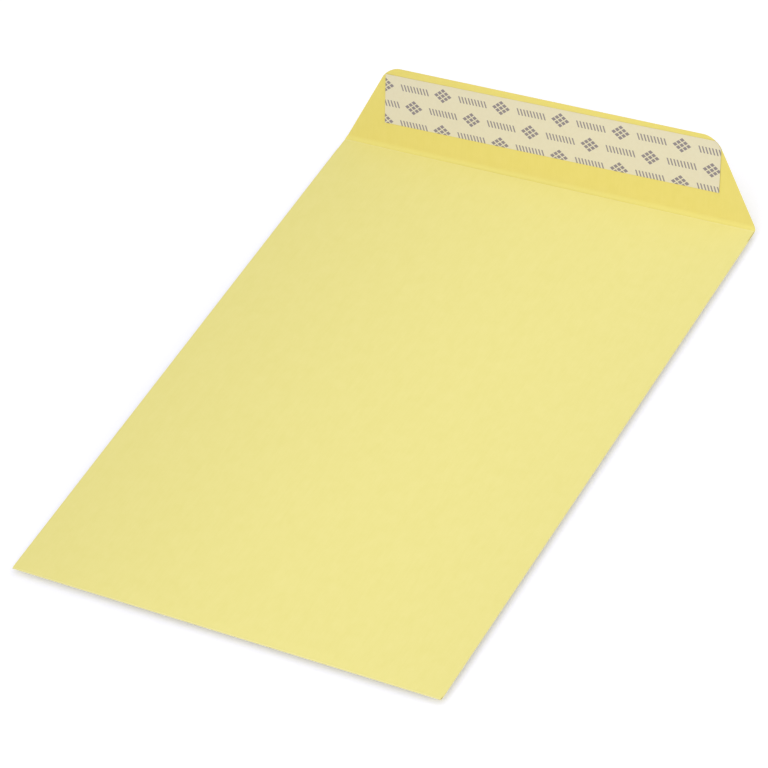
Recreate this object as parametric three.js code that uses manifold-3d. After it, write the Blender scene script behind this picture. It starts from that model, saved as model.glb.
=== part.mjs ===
// Self-seal pocket envelope: one die-cut sheet folded into a pocket, with a band of
// adhesive on its flap under a peel-off strip.
// X runs across the pocket, Y along it towards the flap and Z up from the table.
// The origin is the middle of the address face, where it lies on the table.
import * as THREE from 'three';
import { mergeVertices } from 'three/addons/utils/BufferGeometryUtils.js';
import loadManifold from 'manifold-3d';

// Pocket, in millimetres
const pocketWidth = 229;
const pocketLength = 305;
const paperThickness = 0.13;
const edgeLift = 3; // the folded edges stand this far off the table
const liftRun = 50; // over which the address panel comes down to the table, inside its rim
const pocketLoft = 0.5; // rise of the back panel's middle, from the air in the pocket
const mouthLoftShare = 0.4; // share of that rise left at the mouth
const loftRun = 95; // distance from the bottom fold, or from the mouth, over which it changes

// Side seams: flaps folded in from the address panel, gummed under the back panel
const seamFlapWidth = 18;
const seamFlapSlant = THREE.MathUtils.degToRad(20);
const seamFoldGap = 0.17; // between a seam flap and the address panel under it
const seamGumThickness = 0.03;
const seamGumInset = 2; // dry border of a seam flap, round its gum
const seamGumBite = 0.04; // depth to which the gum soaks into each layer
const backPanelInset = 0.4; // from a side fold to the back panel's cut edge
const cornerRelief = 1.2; // cut-away at each bottom corner of the blank
const mouthClearance = 6; // from a seam flap's upper end to the flap's bend

// Mouth: the back panel's upper edge
const mouthReach = 1.2; // of that edge, past the start of the flap's bend
const mouthDip = 0.5; // depth of its shallow curve

// Seal flap
const flapDepth = 41.2;
const flapTaper = THREE.MathUtils.degToRad(29.8); // each side, from square to the fold
const flapCornerRadius = 11.5;
const flapRise = THREE.MathUtils.degToRad(64.5); // from lying flat open
const flapBendRadius = 4; // at mid-thickness

// Peel-off strip and the adhesive under it
const linerLength = 185.8;
const linerWidth = 25;
const linerThickness = 0.08;
const linerTopMargin = 3; // from the flap's upper edge, at the strip's middle
const linerSkew = THREE.MathUtils.degToRad(0.53); // the strip was laid a little askew
const linerShift = 1; // and off the flap's middle
const trimMargin = 0.2; // left bare where the flap's outline trims the strip
const adhesiveThickness = 0.08;
const adhesiveBorder = 3; // dry border of the strip, to lift it by
const layClearance = 0.02; // between layers that lie on each other

// Steps of the curved stretches
const columns = 20;
const backPanelRows = 14;
const addressPanelRows = 18;
const sharpFoldSteps = 6;
const flapBendSteps = 8;
const cornerSteps = 6;

const wasm = await loadManifold();
wasm.setup();

// Heights of the layers' middles at the pocket's rim, from the table up
const addressHeight = edgeLift + paperThickness / 2;
const sideFoldRadius = (paperThickness + seamFoldGap) / 2;
const seamFlapHeight = addressHeight + 2 * sideFoldRadius;
const backPanelHeight = seamFlapHeight + paperThickness + seamGumThickness;
const bottomFoldRadius = (backPanelHeight - addressHeight) / 2;

// Half-widths and the places along Y where the blank's panels meet
const addressHalfWidth = pocketWidth / 2 - sideFoldRadius - paperThickness / 2;
const backHalfWidth = pocketWidth / 2 - backPanelInset;
const bottomFoldEnd = -pocketLength / 2 + bottomFoldRadius + paperThickness / 2;
const seamStart = bottomFoldEnd + cornerRelief;
const bendStart = pocketLength / 2 - flapBendRadius * Math.tan(flapRise / 2);
const seamEnd = bendStart - mouthClearance;
const mouthEnd = bendStart + mouthReach;
const seamRun = lineBetween([seamStart, addressHeight], [seamEnd, addressHeight]);
const bendHalfLength = (flapBendRadius * flapRise) / 2;
const flapBase = new THREE.Vector2(
	bendStart + flapBendRadius * Math.sin(flapRise),
	addressHeight + flapBendRadius * (1 - Math.cos(flapRise)),
);

// The flap's half-width at a distance from its fold: a taper that ends in a round corner
const cornerTangent = flapDepth - flapCornerRadius * (1 - Math.sin(flapTaper));
const cornerCentre =
	addressHalfWidth - Math.tan(flapTaper) * cornerTangent - flapCornerRadius * Math.cos(flapTaper);

function flapHalfWidth(distance) {

	if (distance <= cornerTangent) return addressHalfWidth - Math.tan(flapTaper) * Math.max(distance, 0);
	const pastCentre = distance - (flapDepth - flapCornerRadius);
	return cornerCentre + Math.sqrt(Math.max(flapCornerRadius ** 2 - pastCentre ** 2, 0));

}

// A sheet of even thickness laid over patches of quads, which share the points where they meet
class Sheet {

	constructor(thickness) {

		this.thickness = thickness;
		this.points = [];
		this.quads = [];
		this.indices = new Map();

	}

	indexOf(point) {

		const key = point.position.toArray().map((value) => value.toFixed(4)).join();
		if (!this.indices.has(key)) {

			this.indices.set(key, this.points.length);
			this.points.push(point);

		}

		return this.indices.get(key);

	}

	// place(row, column) gives a point of the patch; rows and columns count its steps
	addPatch(rows, columnCount, place) {

		const at = (row, column) => this.indexOf(place(row, column));
		for (let row = 0; row < rows; row++) {

			for (let column = 0; column < columnCount; column++) {

				this.quads.push([
					at(row, column),
					at(row, column + 1),
					at(row + 1, column + 1),
					at(row + 1, column),
				]);

			}

		}

	}

	// The edges that only one quad has: the cut edge of the sheet
	cutEdges() {

		const edges = new Map();
		for (const quad of this.quads) {

			quad.forEach((from, corner) => {

				const to = quad[(corner + 1) % quad.length];
				if (!edges.delete(`${to},${from}`)) edges.set(`${from},${to}`, [from, to]);

			});

		}

		return [...edges.values()];

	}

	toGeometry() {

		const half = this.thickness / 2;
		const count = this.points.length;
		const inner = this.points.map((p) => p.position.clone().addScaledVector(p.normal, half));
		const outer = this.points.map((p) => p.position.clone().addScaledVector(p.normal, -half));
		const faces = [];
		const addQuad = (a, b, c, d) => faces.push(a, b, c, a, c, d);
		for (const [a, b, c, d] of this.quads) {

			addQuad(a, b, c, d);
			addQuad(count + c, count + b, count + a, count + d);

		}

		for (const [from, to] of this.cutEdges()) addQuad(to, from, count + from, count + to);
		const geometry = new THREE.BufferGeometry().setFromPoints([...inner, ...outer]);
		geometry.setIndex(faces);
		return geometry;

	}

}

// A straight stretch of a fold path
function lineBetween(from, to) {

	return new THREE.LineCurve(new THREE.Vector2(...from), new THREE.Vector2(...to));

}

// A bend of a fold path to its left, from a point and a heading
function foldFrom([x, y], heading, radius, turn) {

	const start = heading - Math.PI / 2;
	const centreX = x - radius * Math.cos(start);
	const centreY = y - radius * Math.sin(start);
	return new THREE.EllipseCurve(centreX, centreY, radius, radius, start, start + turn);

}

// Points along a fold path, each with the direction square to the sheet, towards the pocket
function walk(curve, steps) {

	return Array.from({ length: steps + 1 }, (_, step) => {

		const point = curve.getPoint(step / steps);
		const tangent = curve.getTangent(step / steps);
		return { point, normal: new THREE.Vector2(-tangent.y, tangent.x) };

	});

}

// How far the address panel comes down from its rim towards the table
function dipAt(x, y) {

	const inward = (fromEdge) => THREE.MathUtils.smoothstep(fromEdge, seamFlapWidth, seamFlapWidth + liftRun);
	const fromSides = inward(addressHalfWidth - Math.abs(x));
	return edgeLift * fromSides * inward(y - bottomFoldEnd) * inward(bendStart - y);

}

// How far the back panel bulges at x across it and a distance from the bottom fold
function loftAt(x, fromBottom, panelLength) {

	const span = backHalfWidth - seamFlapWidth;
	if (Math.abs(x) >= span) return 0;
	const arch = (1 + Math.cos((Math.PI * x) / span)) / 2;
	const fromBottomFold = THREE.MathUtils.smoothstep(fromBottom, 0, loftRun);
	const towardsMouth = THREE.MathUtils.smoothstep(fromBottom, panelLength - loftRun, panelLength);
	return pocketLoft * arch * fromBottomFold * (1 - (1 - mouthLoftShare) * towardsMouth);

}

// The blank's middle strip, from the mouth round the bottom fold to the top of the seal flap.
// Its path lies in the plane of Y and Z.
function addMiddleStrip(sheet) {

	const flapDirection = new THREE.Vector2(Math.cos(flapRise), Math.sin(flapRise));
	const back = lineBetween([mouthEnd, backPanelHeight], [bottomFoldEnd, backPanelHeight]);
	const bottomFold = foldFrom([bottomFoldEnd, backPanelHeight], Math.PI, bottomFoldRadius, Math.PI);
	const relief = lineBetween([bottomFoldEnd, addressHeight], [seamStart, addressHeight]);
	const upper = lineBetween([seamEnd, addressHeight], [bendStart, addressHeight]);
	const bend = foldFrom([bendStart, addressHeight], 0, flapBendRadius, flapRise);

	const addRun = (stations) => sheet.addPatch(stations.length - 1, columns, (row, column) => {

		const { point, normal, halfWidth, shift } = stations[row];
		const x = halfWidth * ((2 * column) / columns - 1);
		const { along = 0, up = 0 } = shift ? shift(x) : {};
		return {
			position: new THREE.Vector3(x, point.x + along, point.y + up),
			normal: new THREE.Vector3(0, normal.x, normal.y),
		};

	});

	// Back panel: its mouth dips in a shallow curve, and its middle bulges
	const panelLength = mouthEnd - bottomFoldEnd;
	addRun(walk(back, backPanelRows).map((station) => ({
		...station,
		halfWidth: backHalfWidth,
		shift: (x) => {

			const share = (station.point.x - bottomFoldEnd) / panelLength;
			const along = -mouthDip * share * (1 - (x / backHalfWidth) ** 2);
			return { along, up: loftAt(x, share * panelLength, panelLength) };

		},
	})));

	addRun(walk(bottomFold, sharpFoldSteps).map((station) => ({ ...station, halfWidth: backHalfWidth })));

	// Address panel: it flares past the relieved bottom corners, and between the side folds
	// it dips from its rim to lie on the table
	const reliefHalfWidths = [backHalfWidth, addressHalfWidth];
	addRun(walk(relief, 1).map((station, row) => ({ ...station, halfWidth: reliefHalfWidths[row] })));
	addRun(walk(seamRun, addressPanelRows).map((station) => ({
		...station,
		halfWidth: addressHalfWidth,
		shift: (x) => ({ up: -dipAt(x, station.point.x) }),
	})));
	addRun(walk(upper, 1).map((station) => ({ ...station, halfWidth: addressHalfWidth })));

	// Seal flap: the bend, the tapered run and the round corners
	addRun(walk(bend, flapBendSteps).map((station, row) => {

		const distance = bendHalfLength * ((2 * row) / flapBendSteps - 1);
		return { ...station, halfWidth: flapHalfWidth(distance) };

	}));

	const stationOnFlap = (distance) => ({
		point: flapBase.clone().addScaledVector(flapDirection, distance - bendHalfLength),
		normal: new THREE.Vector2(-flapDirection.y, flapDirection.x),
		halfWidth: flapHalfWidth(distance),
	});
	const corner = Array.from({ length: cornerSteps + 1 }, (_, step) => {

		const angle = THREE.MathUtils.lerp(flapTaper, Math.PI / 2, step / cornerSteps);
		return stationOnFlap(flapDepth - flapCornerRadius * (1 - Math.sin(angle)));

	});
	addRun([stationOnFlap(bendHalfLength), ...corner]);

}

// A seam flap, folded in over the address panel from its side fold; side is 1 or -1.
// Its ends are cut at a slant, and its path lies in the plane of X and Z.
function addSeamFlap(sheet, side) {

	const fold = foldFrom([addressHalfWidth, addressHeight], 0, sideFoldRadius, Math.PI);
	const flat = lineBetween(
		[addressHalfWidth, seamFlapHeight],
		[pocketWidth / 2 - seamFlapWidth, seamFlapHeight],
	);
	const stations = [...walk(fold, sharpFoldSteps), walk(flat, 1)[1]];
	const last = stations.length - 1;
	sheet.addPatch(addressPanelRows, last, (row, column) => {

		const station = side > 0 ? column : last - column;
		const { point, normal } = stations[station];
		const slanted = station === last ? flat.getLength() * Math.tan(seamFlapSlant) : 0;
		const share = row / addressPanelRows;
		const y = seamRun.getPoint(share).x + slanted * (1 - 2 * share);
		return {
			position: new THREE.Vector3(side * point.x, y, point.y),
			normal: new THREE.Vector3(side * normal.x, 0, normal.y),
		};

	});

}

// The gum that joins a seam flap to the back panel above it
function makeSeamGum(side) {

	const width = seamFlapWidth - 2 * seamGumInset - backPanelInset;
	const slanted = seamFlapWidth * Math.tan(seamFlapSlant);
	const length = seamEnd - seamStart - 2 * (slanted + seamGumInset);
	const depth = seamGumThickness + 2 * seamGumBite;
	const gum = new THREE.BoxGeometry(width, length, depth);
	return gum.translate(
		side * (backHalfWidth - seamGumInset - width / 2),
		(seamStart + seamEnd) / 2,
		(seamFlapHeight + backPanelHeight) / 2,
	);

}

function toManifold(geometry) {

	const bare = geometry.clone();
	bare.deleteAttribute('normal');
	bare.deleteAttribute('uv');
	const merged = mergeVertices(bare);
	return new wasm.Manifold(new wasm.Mesh({
		numProp: 3,
		vertProperties: new Float32Array(merged.attributes.position.array),
		triVerts: new Uint32Array(merged.index.array),
	}));

}

function toGeometry(manifold) {

	const { vertProperties, triVerts } = manifold.getMesh();
	const geometry = new THREE.BufferGeometry();
	geometry.setAttribute('position', new THREE.BufferAttribute(vertProperties, 3));
	geometry.setIndex(new THREE.BufferAttribute(triVerts, 1));
	geometry.computeVertexNormals();
	return geometry;

}

function makeEnvelope() {

	const sheet = new Sheet(paperThickness);
	addMiddleStrip(sheet);
	addSeamFlap(sheet, 1);
	addSeamFlap(sheet, -1);
	const gummed = [1, -1].reduce(
		(solid, side) => solid.add(toManifold(makeSeamGum(side))),
		toManifold(sheet.toGeometry()),
	);
	const paper = new THREE.MeshStandardMaterial({ color: 0xf0e593, roughness: 0.85, metalness: 0 });
	const envelope = new THREE.Mesh(toGeometry(gummed), paper);
	envelope.name = 'envelope';
	return envelope;

}

// The flap's outline less a bare margin, in the frame of the flap
function makeTrimOutline() {

	const radius = flapCornerRadius - trimMargin;
	const centreRise = flapDepth - flapCornerRadius - bendHalfLength;
	const tangentRise = centreRise + radius * Math.sin(flapTaper);
	const footHalfWidth = cornerCentre + radius * Math.cos(flapTaper) + tangentRise * Math.tan(flapTaper);
	const outline = new THREE.Shape();
	outline.moveTo(-footHalfWidth, 0);
	outline.lineTo(footHalfWidth, 0);
	outline.absarc(cornerCentre, centreRise, radius, flapTaper, Math.PI / 2);
	outline.absarc(-cornerCentre, centreRise, radius, Math.PI / 2, Math.PI - flapTaper);
	outline.closePath();
	return outline;

}

// A strip laid on the flap, with its ends trimmed along the flap's outline
function makeFlapStrip(length, width, thickness) {

	const middleRise = flapDepth - linerTopMargin - linerWidth / 2 - bendHalfLength;
	const strip = new THREE.BoxGeometry(length, width, thickness);
	strip.rotateZ(linerSkew);
	strip.translate(linerShift, middleRise, thickness / 2);
	const trim = new THREE.ExtrudeGeometry(makeTrimOutline(), {
		depth: 3 * thickness,
		bevelEnabled: false,
		curveSegments: cornerSteps,
	});
	trim.translate(0, 0, -thickness);
	return toGeometry(toManifold(strip).intersect(toManifold(trim)));

}

// The strips stand in the frame of the flap: Y up the flap from the end of its bend,
// Z square to its inside
function makeSealStrips() {

	const adhesiveBase = paperThickness / 2 + layClearance;
	const linerBase = adhesiveBase + adhesiveThickness + layClearance;

	const adhesive = new THREE.Mesh(
		makeFlapStrip(
			linerLength - 2 * adhesiveBorder,
			linerWidth - 2 * adhesiveBorder,
			adhesiveThickness,
		),
		new THREE.MeshStandardMaterial({ color: 0xe9dfb8, roughness: 0.3, metalness: 0 }),
	);
	adhesive.name = 'seal_adhesive';
	adhesive.position.z = adhesiveBase;

	const liner = new THREE.Mesh(
		makeFlapStrip(linerLength, linerWidth, linerThickness),
		new THREE.MeshStandardMaterial({ color: 0xe9dfbe, roughness: 0.5, metalness: 0 }),
	);
	liner.name = 'release_liner';
	liner.position.z = linerBase;

	const strips = new THREE.Group();
	strips.position.set(0, flapBase.x, flapBase.y);
	strips.rotation.x = flapRise;
	strips.add(adhesive, liner);
	return strips;

}

const part = new THREE.Group();
part.add(makeEnvelope(), makeSealStrips());

export default part;
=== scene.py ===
from math import cos, pi, radians, sin, tan

import bmesh
import bpy
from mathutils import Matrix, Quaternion, Vector


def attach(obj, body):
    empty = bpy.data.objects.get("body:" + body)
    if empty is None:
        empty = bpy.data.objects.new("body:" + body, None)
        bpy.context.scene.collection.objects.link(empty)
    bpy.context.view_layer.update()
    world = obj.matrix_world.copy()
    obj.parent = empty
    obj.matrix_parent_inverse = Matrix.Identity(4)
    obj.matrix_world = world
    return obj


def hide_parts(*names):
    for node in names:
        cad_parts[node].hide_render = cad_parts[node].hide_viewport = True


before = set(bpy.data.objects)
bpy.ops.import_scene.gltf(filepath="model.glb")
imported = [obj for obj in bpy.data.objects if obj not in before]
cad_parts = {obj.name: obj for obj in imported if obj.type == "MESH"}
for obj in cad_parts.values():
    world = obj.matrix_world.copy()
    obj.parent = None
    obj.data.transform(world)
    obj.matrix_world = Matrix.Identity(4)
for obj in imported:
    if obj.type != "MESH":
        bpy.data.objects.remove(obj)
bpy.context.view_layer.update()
mm = 0.001
print("frame loaded:", ", ".join(sorted(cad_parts)))


# helpers

samePlace = 0.004 * mm       # points this close to a place are on it
slack = 0.5 * mm             # room for picking all that lies within a span
smoothBelow = radians(35)    # edges that turn by more stay sharp


def linear(hexColour):
    values = [int(hexColour[i:i + 2], 16) / 255 for i in (1, 3, 5)]
    return [v / 12.92 if v <= 0.04045 else ((v + 0.055) / 1.055) ** 2.4 for v in values] + [1]


# a Mix node's sockets go by number: 2 and 3 are its two values, 6 and 7 its two colours
def addNode(tree, kind, settings, links=()):
    node = tree.nodes.new(kind)
    for name, value in settings.items():
        if isinstance(name, str) and hasattr(node, name):
            setattr(node, name, value)
        else:
            node.inputs[name].default_value = value
    for socket, source in links:
        tree.links.new(source, node.inputs[socket])
    return node


def newMaterial(name):
    material = bpy.data.materials.new(name)
    material.use_nodes = True
    material.node_tree.nodes.clear()
    return material, material.node_tree


def dress(piece, *materials):
    piece.data.materials.clear()
    for material in materials:
        piece.data.materials.append(material)


# a plane two metres wide, so that a resize gives its half sizes
def startPlane(name):
    bpy.ops.object.select_all(action="DESELECT")
    bpy.ops.mesh.primitive_plane_add(size=2)
    piece = bpy.context.object
    piece.name = piece.data.name = name
    bpy.ops.object.mode_set(mode="EDIT")
    return piece


# selects the points or edges that lie wholly where the test says
def pick(piece, kind, test):
    bpy.ops.mesh.select_mode(type={"verts": "VERT", "edges": "EDGE"}[kind])
    bpy.ops.mesh.select_all(action="DESELECT")
    mesh = bmesh.from_edit_mesh(piece.data)
    for part in getattr(mesh, kind):
        points = [part.co] if kind == "verts" else [v.co for v in part.verts]
        part.select_set(all(test(p) for p in points))
    bmesh.update_edit_mesh(piece.data)


def near(a, b):
    return abs(a - b) < samePlace


def cutAcross(places, normal):
    for place in places:
        bpy.ops.mesh.select_all(action="SELECT")
        bpy.ops.mesh.bisect(plane_co=place, plane_no=normal)


# moves what is picked and draws the paper round it along
def drawAlong(move, reach, falloff):
    bpy.ops.transform.translate(
        value=move, use_proportional_edit=True, use_proportional_connected=True,
        proportional_edit_falloff=falloff, proportional_size=reach)


def applyModifier(piece, kind, settings):
    modifier = piece.modifiers.new(kind.title(), kind)
    for name, value in settings.items():
        setattr(modifier, name, value)
    bpy.context.view_layer.objects.active = piece
    bpy.ops.object.modifier_apply(modifier=modifier.name)


# the sheet is drawn at the middle of its thickness, from the address panel outwards
pocket = {
    "width": 229 * mm,               # from side fold to side fold
    "length": 305 * mm,              # from bottom fold to flap fold
    "paper": 0.13 * mm,
    "edgeLift": 3 * mm,              # folded edges stand off the table
    "liftRun": 50 * mm,              # over which the address panel comes down to it
    "loft": 0.5 * mm,                # air in the pocket lifts the back panel
    "loftRun": 92 * mm,
    "ridge": (-60 * mm, 55 * mm),    # the stretch that it lifts most
    "ridgeHalf": 4 * mm,
    "mouthLoft": 0.2 * mm,           # what is left of the loft at the mouth
    "seamFlap": 18 * mm,
    "seamSlant": radians(20),
    "seamGap": 0.17 * mm,            # between a seam flap and the address panel
    "gum": 0.03 * mm,
    "backInset": 0.4 * mm,           # from a side fold to the back panel's cut edge
    "cornerRelief": 1.2 * mm,
    "mouthClearance": 6 * mm,        # from a seam flap to the flap's bend
    "mouthReach": 1.2 * mm,          # of the mouth's edge, past the start of the flap's bend
    "mouthDip": 0.5 * mm,
    "sideSteps": 8,                  # facets round a side fold
    "bottomSteps": 10,
    "cutSpacing": 6 * mm,            # of the cuts that let the panels curve
}
flap = {
    "depth": 41.2 * mm,
    "taper": radians(29.8),
    "corner": 11.5 * mm,
    "cornerSteps": 14,
    "rise": radians(64.5),           # from lying flat open
    "bend": 4 * mm,                  # radius at mid-thickness
    "bendSteps": 12,
}

halfPaper = pocket["paper"] / 2
addressZ = pocket["edgeLift"] + halfPaper
sideRadius = halfPaper + pocket["seamGap"] / 2
seamZ = addressZ + 2 * sideRadius
backZ = seamZ + pocket["paper"] + pocket["gum"]
bottomRadius = (backZ - addressZ) / 2
addressHalf = pocket["width"] / 2 - sideRadius - halfPaper
backHalf = pocket["width"] / 2 - pocket["backInset"]
bottomY = -pocket["length"] / 2 + bottomRadius + halfPaper
bendY = pocket["length"] / 2 - flap["bend"] * tan(flap["rise"] / 2)
seamLow = bottomY + pocket["cornerRelief"]
seamHigh = bendY - pocket["mouthClearance"]
mouthY = bendY + pocket["mouthReach"]
bendHalf = flap["bend"] * flap["rise"] / 2


def onBend(turn):
    return Vector((0, bendY + flap["bend"] * sin(turn), addressZ + flap["bend"] * (1 - cos(turn))))


# half the flap's width at a distance from its fold
def flapHalf(distance):
    return addressHalf - tan(flap["taper"]) * max(distance, 0)


flapUp = Vector((0, cos(flap["rise"]), sin(flap["rise"])))
flapFacing = Vector((0, -sin(flap["rise"]), cos(flap["rise"])))    # the way its inside looks
flapFoot = onBend(flap["rise"])
flapFlat = flap["depth"] - bendHalf


# wood-free paper dyed in the mass, uncoated and machine finished: matt, faintly cloudy where its
# fibres clump, streaked along the machine's run, and paler where a fold has broken the fibres
# the inside's deeper yellow and the flap fold's paler tone are partly painted light
paperLook = {
    "outside": ("#efe592", "#ece28c", "#f3eba6"),    # even, clouded, and for the flap's fold, paler where scored and with painted light
    "inside": ("#ebdc7d", "#e8d977", "#f2e884"),     # the wire side took more of the dye, and the deeper yellow is also painted light, for light shining through the flap and off the panel
    "cloudSize": 6 * mm,
    "streakSize": (0.8 * mm, 8 * mm),    # fibres are 0.03 by 2 mm, drawn coarser to show
    "streakShare": 0.4,                  # of the unevenness, the rest is cloud
    "mottleSpan": (0.3, 0.7),            # of the noise, stretched over the two tones
    "foldColour": "#f6efbe",
    "foldReach": 0.5 * mm,               # how far in from a folded edge the wear goes
    "foldWear": 0.4,
    "scoreWearAndLight": 0.85,                   # on the flap's fold: paler where scored, and painted light that lifts the shade below the mouth's edge
    "leastWearAndLight": 0.6,                    # share of either where no fibres clump
    "toothSize": 0.8 * mm,               # real tooth is about 0.2 mm, drawn coarser to show
    "toothDepth": 0.03 * mm,
    "toothStrength": 0.5,
    "roughness": (0.8, 0.9),
    "ior": 1.5,
    "specular": 0.35,
}


# mixes the worn colours in along the folds, more where the fibres clump; on the flap's fold the paler colour
# is also painted light
def wearAndLightFolds(tree, place, clumps, colour, scoredAndLit):
    axes = addNode(tree, "ShaderNodeSeparateXYZ", {}, [("Vector", place)])

    # side folds and bottom fold
    fromMiddle = addNode(tree, "ShaderNodeMath", {"operation": "ABSOLUTE"}, [(0, axes.outputs["X"])])
    sideWear = addNode(tree, "ShaderNodeMapRange", {
        "From Min": addressHalf - paperLook["foldReach"], "From Max": addressHalf + sideRadius,
        "To Max": paperLook["foldWear"]}, [("Value", fromMiddle.outputs[0])])
    bottomWear = addNode(tree, "ShaderNodeMapRange", {
        "From Min": bottomY + paperLook["foldReach"], "From Max": bottomY - bottomRadius,
        "To Max": paperLook["foldWear"]}, [("Value", axes.outputs["Y"])])
    sharpWear = addNode(tree, "ShaderNodeMath", {"operation": "MAXIMUM"},
                        [(0, sideWear.outputs["Result"]), (1, bottomWear.outputs["Result"])])

    # the flap's fold, fading as the flap rises: paler where scored, and painted light that lifts the shade
    # cast by the mouth's edge
    onFlap = addNode(tree, "ShaderNodeMapRange", {"From Min": bendY, "From Max": mouthY},
                     [("Value", axes.outputs["Y"])])
    lowDown = addNode(tree, "ShaderNodeMapRange", {
        "From Min": flapFoot.z, "From Max": addressZ, "To Max": paperLook["scoreWearAndLight"]},
        [("Value", axes.outputs["Z"])])
    scoreWearAndLight = addNode(tree, "ShaderNodeMath", {"operation": "MULTIPLY"},
                        [(0, onFlap.outputs["Result"]), (1, lowDown.outputs["Result"])])

    clumpShare = addNode(tree, "ShaderNodeMapRange", {"To Min": paperLook["leastWearAndLight"]}, [("Value", clumps)])
    for wearAndLight, wornAndLitColour in ((sharpWear, paperLook["foldColour"]), (scoreWearAndLight, scoredAndLit)):
        patchy = addNode(tree, "ShaderNodeMath", {"operation": "MULTIPLY"},
                         [(0, wearAndLight.outputs[0]), (1, clumpShare.outputs["Result"])])
        wornAndLit = addNode(tree, "ShaderNodeMix", {"data_type": "RGBA", 7: linear(wornAndLitColour)},
                       [("Factor", patchy.outputs[0]), (6, colour)])
        colour = wornAndLit.outputs[2]
    return colour


def makePaper(face):
    material, tree = newMaterial("dyed_paper_" + face)
    even, clouded, scoredAndLit = paperLook[face]
    place = addNode(tree, "ShaderNodeTexCoord", {}).outputs["Object"]
    cloud = addNode(tree, "ShaderNodeTexNoise", {
        "Scale": 1 / paperLook["cloudSize"], "Detail": 4, "Roughness": 0.6}, [("Vector", place)])
    across, along = paperLook["streakSize"]
    drawn = addNode(tree, "ShaderNodeMapping", {"Scale": (1 / across, 1 / along, 1 / along)},
                    [("Vector", place)])
    streak = addNode(tree, "ShaderNodeTexNoise", {"Scale": 1, "Detail": 2},
                     [("Vector", drawn.outputs["Vector"])])
    mottle = addNode(tree, "ShaderNodeMix", {"Factor": paperLook["streakShare"]},
                     [(2, cloud.outputs["Fac"]), (3, streak.outputs["Fac"])])
    thin, thick = paperLook["mottleSpan"]
    spread = addNode(tree, "ShaderNodeMapRange", {"From Min": thin, "From Max": thick},
                     [("Value", mottle.outputs[0])])
    tone = addNode(tree, "ShaderNodeMix", {"data_type": "RGBA", 6: linear(even), 7: linear(clouded)},
                   [("Factor", spread.outputs["Result"])])
    colour = wearAndLightFolds(tree, place, spread.outputs["Result"], tone.outputs[2], scoredAndLit)

    smooth, rough = paperLook["roughness"]
    matt = addNode(tree, "ShaderNodeMapRange", {"To Min": smooth, "To Max": rough},
                   [("Value", cloud.outputs["Fac"])])
    tooth = addNode(tree, "ShaderNodeTexNoise", {"Scale": 1 / paperLook["toothSize"], "Detail": 3},
                    [("Vector", place)])
    bump = addNode(tree, "ShaderNodeBump", {
        "Strength": paperLook["toothStrength"], "Distance": paperLook["toothDepth"]},
        [("Height", tooth.outputs["Fac"])])
    shader = addNode(tree, "ShaderNodeBsdfPrincipled", {
        "IOR": paperLook["ior"], "Specular IOR Level": paperLook["specular"]}, [
        ("Base Color", colour), ("Roughness", matt.outputs["Result"]), ("Normal", bump.outputs["Normal"])])
    addNode(tree, "ShaderNodeOutputMaterial", {}, [("Surface", shader.outputs["BSDF"])])
    return material


# seam flaps turn in at the sides and are cut at a slant
def foldSeams(paper):
    seamFlat = pocket["seamFlap"] - pocket["width"] / 2 + addressHalf
    slanted = 1 - 2 * seamFlat * tan(pocket["seamSlant"]) / (seamHigh - seamLow)
    for side in (1, -1):
        pick(paper, "edges", lambda p: near(p.x, side * addressHalf)
             and seamLow - slack < p.y < seamHigh + slack)
        bpy.ops.mesh.spin(
            steps=pocket["sideSteps"], angle=pi, center=(side * addressHalf, 0, addressZ + sideRadius),
            axis=(0, side, 0))
        bpy.ops.mesh.extrude_region_move(TRANSFORM_OT_translate={"value": (-side * seamFlat, 0, 0)})
        bpy.ops.transform.resize(value=(1, slanted, 1), center_override=(0, (seamLow + seamHigh) / 2, 0))


# the back panel comes round the bottom fold and up to the mouth
def foldBack(paper):
    pick(paper, "edges", lambda p: near(p.y, bottomY))
    bpy.ops.transform.resize(value=(backHalf / addressHalf, 1, 1), center_override=(0, 0, 0))
    bpy.ops.mesh.spin(
        steps=pocket["bottomSteps"], angle=pi, center=(0, bottomY, addressZ + bottomRadius), axis=(1, 0, 0))
    bpy.ops.mesh.extrude_region_move(TRANSFORM_OT_translate={"value": (0, mouthY - bottomY, 0)})


# the seal flap bends up at its score, tapers and has round corners
def raiseFlap(paper):
    pick(paper, "edges", lambda p: near(p.y, bendY) and near(p.z, addressZ))
    bpy.ops.mesh.spin(
        steps=flap["bendSteps"], angle=flap["rise"], center=(0, bendY, addressZ + flap["bend"]),
        axis=(-1, 0, 0))
    bpy.ops.mesh.extrude_region_move(TRANSFORM_OT_translate={"value": flapUp * flapFlat})
    top = flapFoot + flapUp * flapFlat
    rows = [(top, flap["depth"])]
    for step in range(flap["bendSteps"] + 1):
        turn = flap["rise"] * step / flap["bendSteps"]
        rows.append((onBend(turn), flap["bend"] * turn - bendHalf))
    for place, distance in rows:
        pick(paper, "verts", lambda p: near(p.y, place.y) and near(p.z, place.z))
        bpy.ops.transform.resize(value=(flapHalf(distance) / addressHalf, 1, 1), center_override=(0, 0, 0))
    pick(paper, "verts", lambda p: near(p.z, top.z))
    cornerReach = flap["corner"] / tan((pi / 2 + flap["taper"]) / 2)
    bpy.ops.mesh.bevel(offset=cornerReach, affect="VERTICES", segments=flap["cornerSteps"], profile=0.5)


# cuts over the panels and up the flap, so that they can curve
def cutPanels():
    spacing = pocket["cutSpacing"]
    columns = int(pocket["width"] / spacing / 2)
    cutAcross([(n * spacing, 0, 0) for n in range(-columns, columns + 1)], (1, 0, 0))
    panelRows = int((seamHigh - seamLow) / spacing)
    cutAcross([(0, seamLow + n * spacing, 0) for n in range(1, panelRows + 1)], (0, 1, 0))
    flapRows = int(flapFlat / spacing)
    cutAcross([flapFoot + flapUp * n * spacing for n in range(1, flapRows + 1)], flapUp)


# the back panel lies over the seam flaps and their gum
def onBack(p):
    return p.z > backZ - pocket["gum"]


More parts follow.
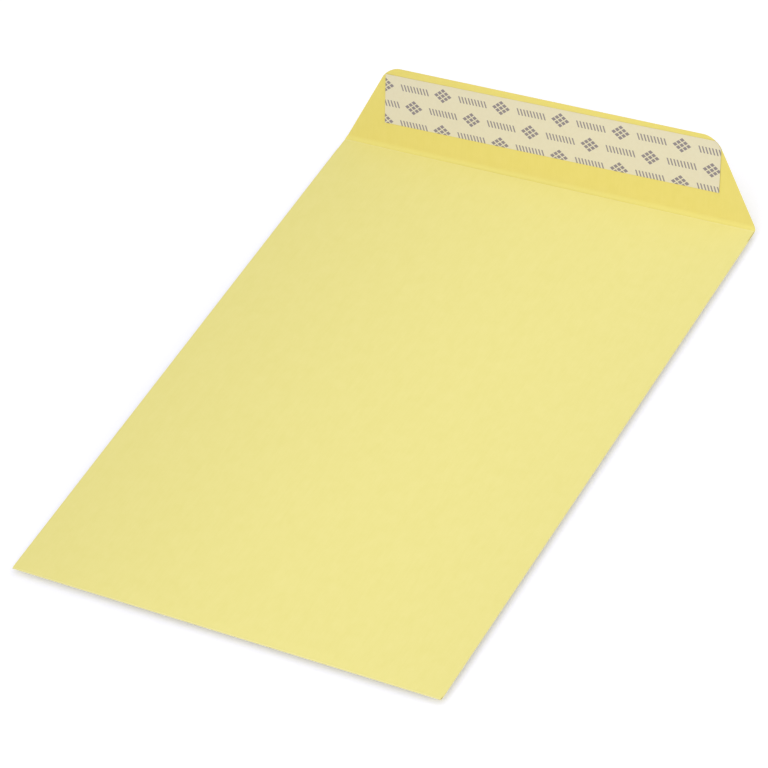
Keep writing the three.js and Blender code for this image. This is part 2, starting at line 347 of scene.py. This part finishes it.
def curvePanels(paper):
    # the address panel dips from its rim to the table
    inset = pocket["seamFlap"] + pocket["liftRun"]
    pick(paper, "verts", lambda p: near(p.z, addressZ) and abs(p.x) < addressHalf - inset
         and bottomY + inset < p.y < bendY - inset)
    drawAlong((0, 0, -pocket["edgeLift"]), pocket["liftRun"], "SMOOTH")

    # the back panel rises over the air in the pocket, less so at the mouth
    low, high = pocket["ridge"]
    spans = ((high, pocket["loft"] - pocket["mouthLoft"]), (mouthY + slack, pocket["mouthLoft"]))
    for end, rise in spans:
        pick(paper, "verts", lambda p: onBack(p) and abs(p.x) < pocket["ridgeHalf"] and low < p.y < end)
        drawAlong((0, 0, rise), pocket["loftRun"], "SMOOTH")

    # the mouth is cut in a shallow curve
    pick(paper, "verts", lambda p: onBack(p) and near(p.y, mouthY) and near(p.x, 0))
    drawAlong((0, -pocket["mouthDip"], 0), backHalf, "INVERSE_SQUARE")


def foldEnvelope():
    paper = startPlane("paper_envelope")
    bpy.ops.transform.resize(value=(addressHalf, (bendY - bottomY) / 2, 1))
    bpy.ops.transform.translate(value=(0, (bendY + bottomY) / 2, addressZ))
    cutAcross([(0, seamLow, 0), (0, seamHigh, 0)], (0, 1, 0))
    foldSeams(paper)
    foldBack(paper)
    raiseFlap(paper)
    cutPanels()
    curvePanels(paper)
    bpy.ops.mesh.select_all(action="SELECT")
    bpy.ops.mesh.normals_make_consistent(inside=False)
    bpy.ops.object.mode_set(mode="OBJECT")
    dress(paper, makePaper("outside"), makePaper("inside"))
    applyModifier(paper, "SOLIDIFY", {
        "thickness": pocket["paper"], "offset": 0, "use_even_offset": True, "use_quality_normals": True,
        "material_offset": 1})
    bpy.ops.object.shade_smooth_by_angle(angle=smoothBelow)
    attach(paper, "root")
    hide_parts("envelope")
    print("envelope folded:", len(paper.data.polygons), "faces")


# the strip is cut flat, trimmed with the flap's outline, then laid on the flap
strip = {
    "length": 185.8 * mm,
    "width": 25 * mm,
    "thickness": 0.08 * mm,
    "topMargin": 3 * mm,
    "skew": radians(0.53),
    "shift": 1 * mm,
    "trim": 0.2 * mm,            # bare paper left at the flap's cut edge
    "trimSteps": 8,              # straight cuts that follow a round corner
    "standOff": 0.185 * mm,      # over the flap's middle, with the gum between them
    "endLift": 0.12 * mm,        # the dry ends come up a little
    "liftRun": 12 * mm,
    "cutSpacing": 6 * mm,        # of the cuts that let it curve
    "endCuts": (1.5 * mm, 4.5 * mm, 7.5 * mm),
}

# release paper, calendered and silicone coated: smooth and satin over a fine mottle of fibres,
# with one grey ink printed on its outer face
releaseLook = {
    "colour": "#e6dfc6",
    "mottleColour": "#e1d8bc",
    "backColour": "#e7e2d2",
    "ink": "#776e7e",
    "inkStrength": 0.85,
    "mottleSize": 1.5 * mm,
    "roughness": 0.42,
    "ior": 1.45,
}
# the print in millimetres of the strip: rows of lozenges, each a diaper of nine small ones, with runs
# of slanted strokes between them, each row half a repeat on from the last
printLook = {
    "repeat": 33,
    "rowPitch": 9.2,
    "rowStart": 3.4,             # of the lowest row, off the strip's edge
    "lozengeReach": (5.4, 3.9),
    "cells": 3,                  # small lozenges along a side
    "cellHalf": 0.38,            # of a small one, as a share of their pitch
    "strokeReach": (8.1, 1.6),
    "strokePitch": 1.8,
    "strokeShare": 0.42,
    "strokeLean": 0.4,
}


def drawPrint(tree):
    look = printLook
    unrolled = addNode(tree, "ShaderNodeTexCoord", {})
    axes = addNode(tree, "ShaderNodeSeparateXYZ", {}, [("Vector", unrolled.outputs["UV"])])
    found = {"u": axes.outputs["X"], "v": axes.outputs["Y"]}
    steps = (
        ("along", "MULTIPLY", "u", strip["length"] / mm),
        ("up", "MULTIPLY_ADD", "v", strip["width"] / mm, look["rowStart"]),
        ("rows", "DIVIDE", "up", look["rowPitch"]),
        ("row", "FLOOR", "rows"),
        ("inRow", "FRACT", "rows"),
        ("offRow", "MULTIPLY_ADD", "inRow", look["rowPitch"], -look["rowPitch"] / 2),
        ("highness", "ABSOLUTE", "offRow"),
        ("dropped", "MODULO", "row", 2),
        ("lozengeRun", "MULTIPLY_ADD", "dropped", look["repeat"] / 2, "along"),
        ("strokeRun", "ADD", "lozengeRun", look["repeat"] / 2),
        ("lozengeOff", "WRAP", "lozengeRun", look["repeat"] / 2, -look["repeat"] / 2),
        ("strokeOff", "WRAP", "strokeRun", look["repeat"] / 2, -look["repeat"] / 2),
        # lozenge: cut into cells along its two slants
        ("longShare", "DIVIDE", "lozengeOff", look["lozengeReach"][0]),
        ("highShare", "DIVIDE", "offRow", look["lozengeReach"][1]),
        ("rising", "ADD", "longShare", "highShare"),
        ("falling", "SUBTRACT", "longShare", "highShare"),
        ("risingFar", "ABSOLUTE", "rising"),
        ("fallingFar", "ABSOLUTE", "falling"),
        ("reach", "MAXIMUM", "risingFar", "fallingFar"),
        ("inLozenge", "LESS_THAN", "reach", 1),
        ("risingRun", "MULTIPLY_ADD", "rising", look["cells"] / 2, look["cells"] / 2),
        ("fallingRun", "MULTIPLY_ADD", "falling", look["cells"] / 2, look["cells"] / 2),
        ("inRising", "FRACT", "risingRun"),
        ("inFalling", "FRACT", "fallingRun"),
        ("risingCell", "COMPARE", "inRising", 0.5, look["cellHalf"]),      # 0.5 is a cell's middle
        ("fallingCell", "COMPARE", "inFalling", 0.5, look["cellHalf"]),
        ("cells", "MULTIPLY", "risingCell", "fallingCell"),
        ("lozenge", "MULTIPLY", "cells", "inLozenge"),
        # strokes: a leaning grating, cut to a run
        ("leaning", "MULTIPLY_ADD", "offRow", look["strokeLean"], "strokeOff"),
        ("strokes", "DIVIDE", "leaning", look["strokePitch"]),
        ("inStroke", "FRACT", "strokes"),
        ("stroke", "LESS_THAN", "inStroke", look["strokeShare"]),
        ("strokeLong", "ABSOLUTE", "leaning"),
        ("inRun", "LESS_THAN", "strokeLong", look["strokeReach"][0]),
        ("inHeight", "LESS_THAN", "highness", look["strokeReach"][1]),
        ("runStroke", "MULTIPLY", "stroke", "inRun"),
        ("cutStroke", "MULTIPLY", "runStroke", "inHeight"),
        ("marks", "MAXIMUM", "lozenge", "cutStroke"),
        ("ink", "MULTIPLY", "marks", releaseLook["inkStrength"]),
    )
    for name, operation, *inputs in steps:
        settings = {i: value for i, value in enumerate(inputs) if not isinstance(value, str)}
        links = [(i, found[value]) for i, value in enumerate(inputs) if isinstance(value, str)]
        step = addNode(tree, "ShaderNodeMath", {"operation": operation, **settings}, links)
        found[name] = step.outputs[0]
    return found["ink"]


def makeReleasePaper(printed):
    material, tree = newMaterial("printed_release_paper" if printed else "plain_release_paper")
    place = addNode(tree, "ShaderNodeTexCoord", {})
    fibres = addNode(tree, "ShaderNodeTexNoise", {
        "Scale": 1 / releaseLook["mottleSize"], "Detail": 3}, [("Vector", place.outputs["Object"])])
    tone = addNode(tree, "ShaderNodeMix", {
        "data_type": "RGBA", 6: linear(releaseLook["colour" if printed else "backColour"]),
        7: linear(releaseLook["mottleColour"])}, [("Factor", fibres.outputs["Fac"])])
    colour = tone.outputs[2]
    if printed:
        inked = addNode(tree, "ShaderNodeMix", {"data_type": "RGBA", 7: linear(releaseLook["ink"])},
                        [("Factor", drawPrint(tree)), (6, colour)])
        colour = inked.outputs[2]
    shader = addNode(tree, "ShaderNodeBsdfPrincipled", {
        "Roughness": releaseLook["roughness"], "IOR": releaseLook["ior"]}, [("Base Color", colour)])
    addNode(tree, "ShaderNodeOutputMaterial", {}, [("Surface", shader.outputs["BSDF"])])
    return material


# cuts along the flap's slanted sides and round its corners
def trimStrip():
    radius = flap["corner"] - strip["trim"]
    cornerY = flap["depth"] - flap["corner"] - bendHalf
    tangentDepth = flap["depth"] - flap["corner"] * (1 - sin(flap["taper"]))
    cornerX = flapHalf(tangentDepth) - flap["corner"] * cos(flap["taper"])
    for side in (1, -1):
        for step in range(strip["trimSteps"] + 1):
            turn = flap["taper"] + (pi / 2 - flap["taper"]) * step / strip["trimSteps"]
            outward = Vector((side * cos(turn), sin(turn), 0))
            corner = Vector((side * cornerX, cornerY, 0))
            bpy.ops.mesh.select_all(action="SELECT")
            bpy.ops.mesh.bisect(plane_co=corner + outward * radius, plane_no=outward, clear_outer=True)


def layPeelStrip():
    liner = startPlane("peel_strip")
    half = strip["length"] / 2
    bpy.ops.transform.resize(value=(half, strip["width"] / 2, 1))
    columns = int(half / strip["cutSpacing"])
    cutAcross([(n * strip["cutSpacing"], 0, 0) for n in range(-columns, columns + 1)], (1, 0, 0))
    cutAcross([(side * (half - cut), 0, 0) for side in (1, -1) for cut in strip["endCuts"]], (1, 0, 0))
    for side in (1, -1):
        pick(liner, "verts", lambda p: side * p.x > half - slack)
        drawAlong((0, 0, strip["endLift"]), strip["liftRun"], "SHARP")
    bpy.ops.object.mode_set(mode="OBJECT")
    liner.rotation_euler.z = strip["skew"]
    liner.location = (strip["shift"], flap["depth"] - strip["topMargin"] - strip["width"] / 2 - bendHalf, 0)
    bpy.ops.object.transform_apply(location=True, rotation=True, scale=True)
    bpy.ops.object.mode_set(mode="EDIT")
    trimStrip()
    bpy.ops.object.mode_set(mode="OBJECT")
    dress(liner, makeReleasePaper(True), makeReleasePaper(False))
    applyModifier(liner, "SOLIDIFY", {
        "thickness": strip["thickness"], "offset": 1, "use_even_offset": True, "material_offset": 1,
        "material_offset_rim": 1})
    liner.rotation_euler.x = flap["rise"]
    liner.location = flapFoot + flapFacing * strip["standOff"]
    bpy.ops.object.transform_apply(location=True, rotation=True, scale=True)
    bpy.ops.object.shade_smooth_by_angle(angle=smoothBelow)
    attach(liner, "root")
    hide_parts("release_liner")
    print("peel strip laid:", len(liner.data.polygons), "faces")


# acrylic pressure-sensitive gum: a thin cloudy film with a wet sheen, rippled by the roller that laid it
gumLook = {
    "colour": "#ece3bf",
    "cloudColour": "#e2d6a6",
    "rippleSize": 2 * mm,
    "rippleDepth": 0.02 * mm,
    "rippleStrength": 0.6,
    "roughness": 0.25,
    "ior": 1.47,
}


def makeGum():
    material, tree = newMaterial("acrylic_gum")
    place = addNode(tree, "ShaderNodeTexCoord", {})
    ripple = addNode(tree, "ShaderNodeTexNoise", {
        "Scale": 1 / gumLook["rippleSize"], "Detail": 2}, [("Vector", place.outputs["Object"])])
    tone = addNode(tree, "ShaderNodeMix", {
        "data_type": "RGBA", 6: linear(gumLook["colour"]), 7: linear(gumLook["cloudColour"])},
        [("Factor", ripple.outputs["Fac"])])
    bump = addNode(tree, "ShaderNodeBump", {
        "Strength": gumLook["rippleStrength"], "Distance": gumLook["rippleDepth"]},
        [("Height", ripple.outputs["Fac"])])
    shader = addNode(tree, "ShaderNodeBsdfPrincipled", {
        "Roughness": gumLook["roughness"], "IOR": gumLook["ior"]},
        [("Base Color", tone.outputs[2]), ("Normal", bump.outputs["Normal"])])
    addNode(tree, "ShaderNodeOutputMaterial", {}, [("Surface", shader.outputs["BSDF"])])
    return material


foldEnvelope()
layPeelStrip()
dress(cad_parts["seal_adhesive"], makeGum())
print("gum dressed")


# table top and light, in metres and watts
studio = {
    "floorSize": 8,
    "floorColour": "#e8e8e8",
    "floorSeen": "#e8e8f2",          # what the camera sees of it
    "floorGlow": (0.255, 0.4),       # for the camera only: low by the shadows, more where the table is bare
    "glowMiddle": (0.02, -0.02, 0),
    "glowReach": (0.12, 0.28),       # where the glow starts to rise and where it is full
    "skyLight": 0.8,
    "skyLean": (0.32, -0.25, 0),     # brighter towards the near right, darker behind
    "skySeen": 1.0,                  # white
    "softboxPlace": (0.057, -0.1, 0.2),
    "softboxSize": (0.3, 0.8),
    "softboxPower": 0.294,
}


# 1 on rays from the camera and on those that a gloss sends on
def seenRays(tree):
    rays = addNode(tree, "ShaderNodeLightPath", {})
    seen = addNode(tree, "ShaderNodeMath", {"operation": "MAXIMUM"},
                   [(0, rays.outputs["Is Camera Ray"]), (1, rays.outputs["Is Glossy Ray"])])
    return seen.outputs[0]


# matt white board: it takes the shadows, and glows a little so that the camera sees it white
def makeTableTop():
    material, tree = newMaterial("white_table_top")
    seen = seenRays(tree)
    tone = addNode(tree, "ShaderNodeMix", {
        "data_type": "RGBA", 6: linear(studio["floorColour"]), 7: linear(studio["floorSeen"])},
        [("Factor", seen)])
    shader = addNode(tree, "ShaderNodeBsdfDiffuse", {}, [("Color", tone.outputs[2])])
    place = addNode(tree, "ShaderNodeTexCoord", {})
    squared = addNode(tree, "ShaderNodeMapping", {
        "vector_type": "TEXTURE", "Location": studio["glowMiddle"],
        "Scale": (1, pocket["length"] / pocket["width"], 1)}, [("Vector", place.outputs["Object"])])
    away = addNode(tree, "ShaderNodeVectorMath", {"operation": "LENGTH"}, [(0, squared.outputs["Vector"])])
    (nearby, farOff), (low, high) = studio["glowReach"], studio["floorGlow"]
    rise = addNode(tree, "ShaderNodeMapRange", {
        "From Min": nearby, "From Max": farOff, "To Min": low, "To Max": high},
        [("Value", away.outputs["Value"])])
    strength = addNode(tree, "ShaderNodeMath", {"operation": "MULTIPLY"},
                       [(0, seen), (1, rise.outputs["Result"])])
    glow = addNode(tree, "ShaderNodeEmission", {}, [("Strength", strength.outputs[0])])
    both = addNode(tree, "ShaderNodeAddShader", {}, [(0, shader.outputs[0]), (1, glow.outputs[0])])
    addNode(tree, "ShaderNodeOutputMaterial", {}, [("Surface", both.outputs[0])])
    return material


def layTable():
    bpy.ops.object.select_all(action="DESELECT")
    bpy.ops.mesh.primitive_plane_add(size=studio["floorSize"])
    table = bpy.context.object
    table.name = "table_top"
    dress(table, makeTableTop())


# soft white light from all round, stronger on one side
def lightSky():
    world = bpy.data.worlds.new("studio_white")
    world.use_nodes = True
    tree = world.node_tree
    tree.nodes.clear()
    towards = addNode(tree, "ShaderNodeTexCoord", {})
    lean = addNode(tree, "ShaderNodeVectorMath", {"operation": "DOT_PRODUCT", 1: studio["skyLean"]},
                   [(0, towards.outputs["Generated"])])
    graded = addNode(tree, "ShaderNodeMath", {
        "operation": "MULTIPLY_ADD", 1: studio["skyLight"], 2: studio["skyLight"]},
        [(0, lean.outputs["Value"])])
    strength = addNode(tree, "ShaderNodeMix", {3: studio["skySeen"]},
                       [("Factor", seenRays(tree)), (2, graded.outputs[0])])
    sky = addNode(tree, "ShaderNodeBackground", {"Color": (1, 1, 1, 1)}, [("Strength", strength.outputs[0])])
    addNode(tree, "ShaderNodeOutputWorld", {}, [("Surface", sky.outputs[0])])
    bpy.context.scene.world = world


# a broad lamp low over the near right, so that the paper darkens a little towards the far left
def hangSoftbox():
    bpy.ops.object.light_add(type="AREA", location=studio["softboxPlace"])
    softbox = bpy.context.object
    softbox.name = "softbox"
    softbox.data.shape = "RECTANGLE"
    softbox.data.size, softbox.data.size_y = studio["softboxSize"]
    softbox.data.energy = studio["softboxPower"]
    softbox.visible_camera = False


camera = {
    "azimuth": radians(41.717),
    "elevation": radians(42.933),
    "roll": radians(-16.591),
    "distance": 1747.63 * mm,
    "aim": (-3.658 * mm, 2.648 * mm, 7.744 * mm),
    "lens": 177.47,    # in millimetres, as its sensor
    "sensor": 36,
}


def setCamera():
    back = Vector((sin(camera["azimuth"]) * cos(camera["elevation"]),
                   -cos(camera["azimuth"]) * cos(camera["elevation"]), sin(camera["elevation"])))
    bpy.ops.object.camera_add(location=Vector(camera["aim"]) + back * camera["distance"])
    view = bpy.context.object
    view.rotation_mode = "QUATERNION"
    view.rotation_quaternion = (-back).to_track_quat("-Z", "Y") @ Quaternion((0, 0, 1), camera["roll"])
    view.data.lens = camera["lens"]
    view.data.sensor_width = camera["sensor"]
    bpy.context.scene.camera = view


layTable()
lightSky()
hangSoftbox()
setCamera()
bpy.context.scene.view_settings.view_transform = "Standard"
print("studio set")
